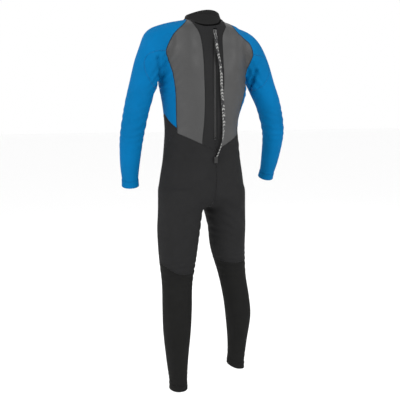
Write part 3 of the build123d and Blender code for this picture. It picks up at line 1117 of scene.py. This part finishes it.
def curved_sheet(name, rows, thickness, material):
    """A sheet through rows of points, given a thickness and a rounded edge, and its area."""
    verts = [p for row in rows for p in row]
    sheet = object_from_faces(name, verts, grid_faces(len(rows), len(rows[0])))
    area = flat_area(sheet)
    solid = sheet.modifiers.new("thickness", "SOLIDIFY")
    solid.thickness = thickness
    solid.offset = 0
    rounding = sheet.modifiers.new("rounding", "BEVEL")
    rounding.width = SHEET_BEVEL
    rounding.segments = 3
    rounding.limit_method = "ANGLE"
    applied(sheet)
    shade_smooth(sheet.data)
    sheet.data.materials.append(material)
    return sheet, area


def neck_point(angle, z, lift=0.0):
    """A point round the collar and upper back; angle 0 is the wearer's left, 90 the back."""
    y0, half_x, half_y = neck_section(z)
    a = math.radians(angle)
    return ((half_x + lift) * math.cos(a), y0 + (half_y + lift) * math.sin(a), z)


def make_collar(materials):
    rows = []
    for share in np.linspace(0, 1, 16):
        row = []
        for a in np.linspace(90.0, 450.0, 160):
            c = math.cos(math.radians(a))
            dip = COLLAR_DIP_LEFT if c > 0 else COLLAR_DIP_RIGHT
            top = COLLAR_RIM - dip * c ** 2
            row.append(neck_point(a, top - (top - COLLAR_FOOT) * share, -0.0015))
        rows.append(row)
    collar, area = curved_sheet("collar_band_cloth", rows, COLLAR_THICK, materials["collar"])
    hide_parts("collar_band")
    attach(collar, "torso")


def flap_lower(x):
    """The flap's lower edge: a rounded tab, deepest left of the zip."""
    across = millimetres([-29, -24, -10, 5, 19, 32, 46, 60, 70])
    lower = millimetres([-15, -21, -30, -36.5, -38.5, -34.5, -26.5, -15.5, -6])
    return np.interp(x, across, lower)


def flap_lift(angle):
    """How far the flap stands off the collar: most over the left shoulder's slope."""
    return 0.0045 + 0.0045 * math.sin(math.pi * min(1.0, (angle - FLAP_START) / 93)) ** 2


def hinge_flap(piece):
    """Bakes the piece's placement into its mesh."""
    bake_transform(piece)


def make_flap(materials):
    rows = []
    angles = np.linspace(FLAP_END, FLAP_START, 100)
    for share in np.linspace(0, 1, 24):
        row = []
        for a in angles:
            x_here = neck_point(a, -0.01)[0]
            close = min(1.0, max(0.0, (x_here - FLAP_TIP) / FLAP_ROUNDING))
            round_tip = math.sqrt(max(0.0, 1 - (1 - close) ** 2))
            low = float(flap_lower(x_here))
            middle_z = (FLAP_TOP + low) / 2
            z = middle_z + (0.5 - share) * (FLAP_TOP - low) * max(0.12, round_tip)
            row.append(neck_point(a, z, flap_lift(a)))
        rows.append(row)
    flap, area = curved_sheet("collar_flap_cloth", rows, FLAP_THICK, materials["collar"])
    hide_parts("collar_overlap_flap")
    hinge_flap(flap)
    # A near-black strip with stitch relief along the flap's lower edge: painted shadow under the
    # flap
    edge = []
    for a in angles:
        x_here = neck_point(a, -0.01)[0]
        edge.append(neck_point(a, float(flap_lower(x_here)) + 0.0012, flap_lift(a) + 0.0014))
    points = np.array(edge)
    normals = points - np.array([0, 0.005, 0])
    normals[:, 2] = 0.01
    normals /= np.linalg.norm(normals, axis=1, keepdims=True)
    flap_shadow_look = materials["flap_shadow_look"]
    flap_shadow_strip = make_seam("collar_flap_painted_shadow", [(points, normals)], flap_shadow_look, flap_shadow_look, FLAP_SHADOW_WIDTH)
    hinge_flap(flap_shadow_strip)


def make_backing(materials):
    """The soft flap that lies inside, behind the zip."""
    low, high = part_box("zip_backing_flap")
    rows = []
    for share in np.linspace(0, 1, 60):
        z = high[2] + (low[2] - high[2]) * share
        ripple = 0.0004 * math.sin(share * 40)
        y = high[1] - 0.006 + ripple - (1 - share) * 0.007
        rows.append([(x, y - 4.5 * x * x, z) for x in np.linspace(low[0], high[0], 16)])
    backing, area = curved_sheet("zip_backing_cloth", rows, BACKING_THICK, materials["collar"])
    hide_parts("zip_backing_flap")
    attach(backing, "torso")


# ---- Pull cord ----
CORD_Y = 0.1145
CORD_LEAN = math.tan(math.radians(0.9))
CORD_WIDTH = 0.010
CORD_THICK = 0.0026
# The tape hangs nearly flat for this length, then turns its edge to the back
CORD_TURNS_AT, CORD_TURN_LENGTH = 0.33, 0.09
# (x, z) of the curve's control points, from the puller down
CORD_ROUTE = millimetres([
    (0, -87), (-3, -114), (-11, -146), (-19, -190), (-20, -240), (-24, -292), (-29, -344),
    (-29, -394), (-23, -430), (-13, -460), (-1, -484),
])


def nurbs_points(route):
    """Points along a smooth curve that the route controls."""
    curve = bpy.data.curves.new("cord_route", "CURVE")
    curve.dimensions = "3D"
    spline = curve.splines.new("NURBS")
    spline.points.add(len(route) - 1)
    for point, co in zip(spline.points, route):
        point.co = (*co, 1)
    spline.order_u = 3
    spline.use_endpoint_u = True
    spline.resolution_u = 10
    holder = add_object("cord_route", curve)
    points = [v.co.copy() for v in evaluated_mesh(holder).vertices]
    bpy.data.objects.remove(holder)
    return points


def tape_section(centre, way, run):
    """The tape's outline round a point of its path, run metres from its top."""
    back = Vector((0, 1, 0))
    turned = float(fade(CORD_TURNS_AT - run, CORD_TURN_LENGTH))
    twist = 0.35 * (1 - turned) * math.sin(run * 14.0 + 0.6) + 0.9 * turned
    lean = way.cross(back).normalized() * math.cos(twist) + back * math.sin(twist)
    face = way.cross(lean).normalized()
    front, rear = [], []
    for share in (-1, -0.9, -0.5, 0, 0.5, 0.9, 1):
        middle_point = centre + lean * (share * CORD_WIDTH / 2)
        lift = face * (CORD_THICK / 2 * (1 - 0.5 * share ** 6))
        front.append(middle_point + lift)
        rear.append(middle_point - lift)
    return front + rear[::-1]


def make_cord(materials):
    top = CORD_ROUTE[0][1]
    path = nurbs_points([(x, CORD_Y + CORD_LEAN * (top - z), z) for x, z in CORD_ROUTE])
    bm = bmesh.new()
    uv = bm.loops.layers.uv.new("UVMap")
    rings, runs = [], []
    run = 0.0
    for i, p in enumerate(path):
        before, after = path[max(0, i - 1)], path[min(len(path) - 1, i + 1)]
        if i:
            run += (p - before).length
        runs.append(run)
        section = tape_section(p, (after - before).normalized(), run)
        rings.append([bm.verts.new(v) for v in section])
    width = len(rings[0])
    for i in range(len(rings) - 1):
        for k in range(width):
            n = (k + 1) % width
            f = bm.faces.new((rings[i][k], rings[i][n], rings[i + 1][n], rings[i + 1][k]))
            f.smooth = True
            here, beyond_it = [min(c, width - 1 - c) / (width / 2 - 1) for c in (k, n)]
            start, end = runs[i] / CORD_WIDTH, runs[i + 1] / CORD_WIDTH
            corners = ((here, start), (beyond_it, start), (beyond_it, end), (here, end))
            for loop, value in zip(f.loops, corners):
                loop[uv].uv = value
    bm.faces.new(rings[0][::-1])
    bm.faces.new(rings[-1])
    bmesh.ops.recalc_face_normals(bm, faces=bm.faces)
    cord = add_object("pull_cord_tape", mesh_from_bmesh("pull_cord_tape", bm))
    cord.data.materials.append(materials["cord"])
    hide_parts("pull_cord")
    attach(cord, "zip_puller")


def dress_cad_nodes(materials):
    """Materials for the CAD nodes that are kept as they are."""
    looks = {
        "zip_tape_left": "tape", "zip_tape_right": "tape", "zip_teeth_left": "plastic",
        "zip_teeth_right": "plastic", "zip_bottom_stop": "plastic", "zip_top_stops": "plastic",
        "zip_slider": "metal", "zip_puller": "steel", "collar_loop_patch": "hook",
        "flap_hook_patch": "hook", "cord_loop": "cord", "cord_end_tab": "rubber",
    }
    for name, look in looks.items():
        for slot in nodes[name].material_slots:
            slot.material = materials[look]


add_camera()
add_studio()
materials = make_materials()
make_cord(materials)
body = make_body()
cut_mesh = cut_body(body)
bpy.data.objects.remove(body)
panel_names = name_panels(cut_mesh)
make_panels(cut_mesh, panel_names, materials)
make_seams(seam_lines(cut_mesh, panel_names), materials)
make_side_seams(cut_mesh, materials)
make_collar(materials)
make_flap(materials)
make_backing(materials)
dress_cad_nodes(materials)
